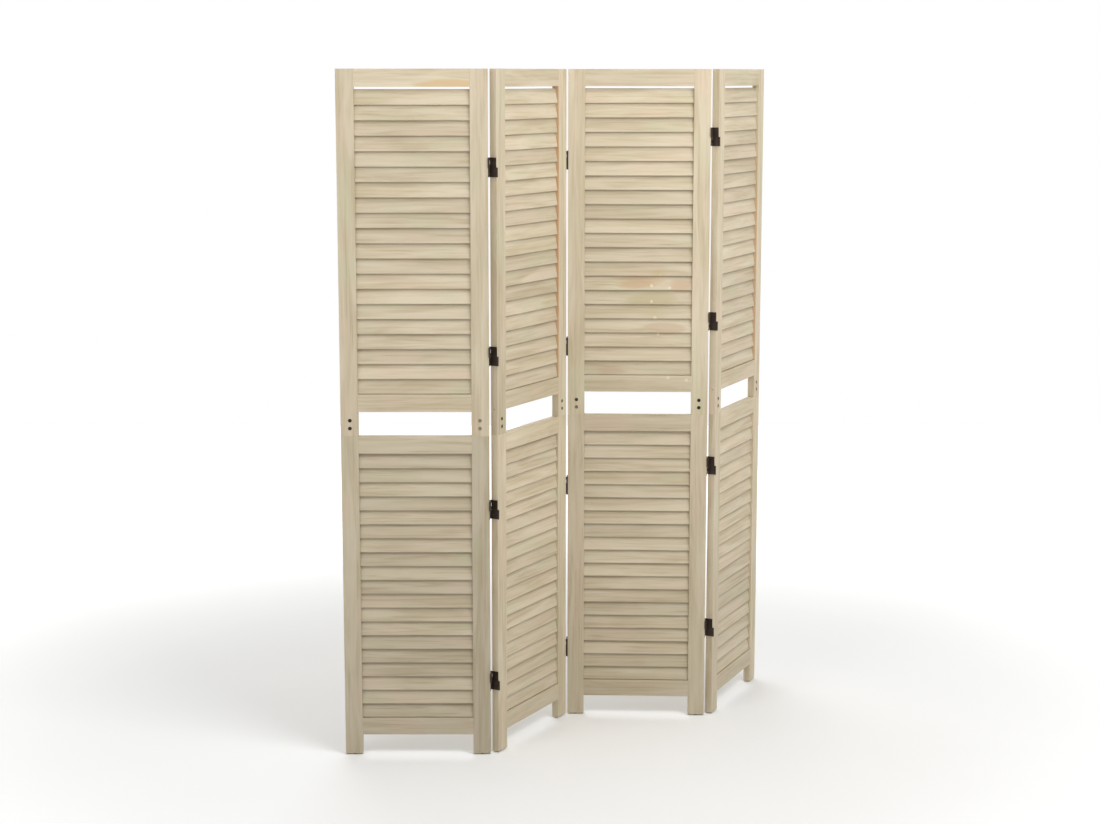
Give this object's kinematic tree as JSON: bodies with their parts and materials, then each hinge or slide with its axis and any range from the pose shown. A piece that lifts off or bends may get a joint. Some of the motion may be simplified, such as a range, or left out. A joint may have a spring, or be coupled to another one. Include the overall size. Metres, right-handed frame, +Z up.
{
  "type": "folding screen",
  "caption": "Free-standing folding screen of louvred wooden panels with open windows, joined by two-way hinges and standing zigzag on small glides.",
  "frame": {"origin": "centre of the bounding box's bottom face, on the floor", "axes": "+Z up, -Y towards the viewer that panel 1 faces, +X along panel 1 from its left edge to its hinges"},
  "size_m": [1.0646, 0.6621, 1.66],
  "materials": {
    "stile_wood": "unfinished, planed",
    "rail_wood": "unfinished, planed",
    "slat_wood": "unfinished, planed",
    "hinge_metal": "dark bronze",
    "screw_metal": "dulled",
    "glide": "satin"
  },
  "bodies": {
    "panel_1": {"panel_1_upper_left_stile": "stile_wood", "panel_1_upper_right_stile": "stile_wood", "panel_1_lower_left_stile": "stile_wood", "panel_1_lower_right_stile": "stile_wood", "panel_1_upper_rails": "rail_wood", "panel_1_lower_rails": "rail_wood", "panel_1_upper_slats": "slat_wood", "panel_1_lower_slats": "slat_wood", "panel_1_joining_screws": "screw_metal", "panel_1_foot_glides": "glide", "panel_1_right_hinge_leaves": "hinge_metal", "panel_1_right_hinge_links": "hinge_metal", "panel_1_hinge_pins": "hinge_metal", "panel_1_hinge_screws": "hinge_metal"},
    "panel_2": {"panel_2_upper_left_stile": "stile_wood", "panel_2_upper_right_stile": "stile_wood", "panel_2_lower_left_stile": "stile_wood", "panel_2_lower_right_stile": "stile_wood", "panel_2_upper_rails": "rail_wood", "panel_2_lower_rails": "rail_wood", "panel_2_upper_slats": "slat_wood", "panel_2_lower_slats": "slat_wood", "panel_2_joining_screws": "screw_metal", "panel_2_foot_glides": "glide", "panel_2_left_hinge_leaves": "hinge_metal", "panel_2_left_hinge_links": "hinge_metal", "panel_2_right_hinge_leaves": "hinge_metal", "panel_2_right_hinge_links": "hinge_metal", "panel_2_hinge_pins": "hinge_metal", "panel_2_hinge_screws": "hinge_metal"},
    "panel_3": {"panel_3_upper_left_stile": "stile_wood", "panel_3_upper_right_stile": "stile_wood", "panel_3_lower_left_stile": "stile_wood", "panel_3_lower_right_stile": "stile_wood", "panel_3_upper_rails": "rail_wood", "panel_3_lower_rails": "rail_wood", "panel_3_upper_slats": "slat_wood", "panel_3_lower_slats": "slat_wood", "panel_3_joining_screws": "screw_metal", "panel_3_foot_glides": "glide", "panel_3_left_hinge_leaves": "hinge_metal", "panel_3_left_hinge_links": "hinge_metal", "panel_3_right_hinge_leaves": "hinge_metal", "panel_3_right_hinge_links": "hinge_metal", "panel_3_hinge_pins": "hinge_metal", "panel_3_hinge_screws": "hinge_metal"},
    "panel_4": {"panel_4_upper_left_stile": "stile_wood", "panel_4_upper_right_stile": "stile_wood", "panel_4_lower_left_stile": "stile_wood", "panel_4_lower_right_stile": "stile_wood", "panel_4_upper_rails": "rail_wood", "panel_4_lower_rails": "rail_wood", "panel_4_upper_slats": "slat_wood", "panel_4_lower_slats": "slat_wood", "panel_4_joining_screws": "screw_metal", "panel_4_foot_glides": "glide", "panel_4_left_hinge_leaves": "hinge_metal", "panel_4_left_hinge_links": "hinge_metal", "panel_4_hinge_pins": "hinge_metal", "panel_4_hinge_screws": "hinge_metal"}
  },
  "joints": [
    {"name": "fold_12", "type": "hinge", "parent": "panel_1", "child": "panel_2", "pos_m": [-0.17588, -0.30699, 0], "axis": [0, 0, 1], "range_deg": [-62, 118]},
    {"name": "fold_23", "type": "hinge", "parent": "panel_2", "child": "panel_3", "pos_m": [0.01161, -0.00122, 0], "axis": [0, 0, -1], "range_deg": [-64.4, 115.6]},
    {"name": "fold_34", "type": "hinge", "parent": "panel_3", "child": "panel_4", "pos_m": [0.37022, 0.00577, 0], "axis": [0, 0, 1], "range_deg": [-68.6, 111.4]}
  ]
}
